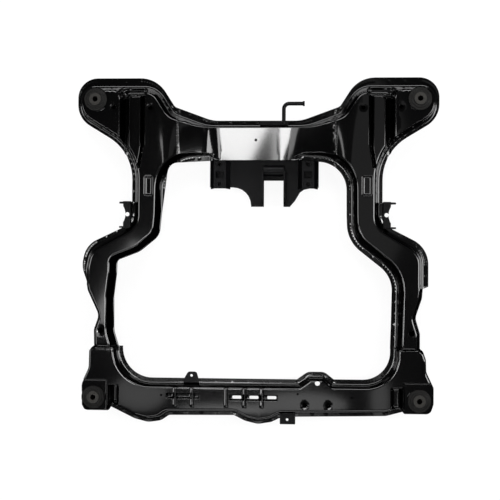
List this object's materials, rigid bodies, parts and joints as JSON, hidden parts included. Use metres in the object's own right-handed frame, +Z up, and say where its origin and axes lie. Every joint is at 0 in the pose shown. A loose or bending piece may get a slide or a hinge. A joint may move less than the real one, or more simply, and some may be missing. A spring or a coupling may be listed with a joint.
{
  "type": "front subframe",
  "caption": "Welded box-section vehicle front subframe with corner body bushes, lower-arm brackets, steering mounts and a roll-stopper bracket.",
  "frame": {"origin": "middle of the outline at the level of the lower ends of the bush sleeves", "axes": "+X to the right, +Y towards the rear crossmember, +Z up through the body bolts"},
  "size_m": [0.942, 0.899, 0.098],
  "materials": {
    "black_paint": "semi-gloss black paint",
    "bush_rubber": "matt dark grey rubber",
    "bare_steel": "dull plated steel"
  },
  "bodies": {
    "root": {"left_side_upper": "black_paint", "right_side_upper": "black_paint", "rear_panel_upper": "black_paint", "left_side_lower": "black_paint", "right_side_lower": "black_paint", "rear_panel_lower": "black_paint", "left_waist_lower": "black_paint", "right_waist_lower": "black_paint", "left_rail_upper": "black_paint", "right_rail_upper": "black_paint", "left_rail_lower": "black_paint", "right_rail_lower": "black_paint", "front_cross_upper": "black_paint", "left_corner_upper": "black_paint", "right_corner_upper": "black_paint", "front_cross_lower": "black_paint", "left_corner_lower": "black_paint", "right_corner_lower": "black_paint", "rear_left_collar": "black_paint", "rear_right_collar": "black_paint", "front_left_collar": "black_paint", "front_right_collar": "black_paint", "rear_left_shell": "bare_steel", "rear_right_shell": "bare_steel", "front_left_shell": "bare_steel", "front_right_shell": "bare_steel", "rear_left_rubber": "bush_rubber", "rear_right_rubber": "bush_rubber", "front_left_rubber": "bush_rubber", "front_right_rubber": "bush_rubber", "rear_left_sleeve": "bare_steel", "rear_right_sleeve": "bare_steel", "front_left_sleeve": "bare_steel", "front_right_sleeve": "bare_steel", "left_arm_back": "black_paint", "right_arm_back": "black_paint", "left_arm_walls": "black_paint", "right_arm_walls": "black_paint", "roll_left_cheek": "black_paint", "roll_right_cheek": "black_paint", "roll_cross_tube": "black_paint", "roll_bridge": "black_paint", "left_steering_mount": "black_paint", "right_steering_mount": "black_paint", "steering_nuts": "bare_steel", "hanger_plate": "black_paint", "hanger_rod": "black_paint", "rear_tab": "black_paint", "front_tab": "black_paint"}
  },
  "joints": []
}
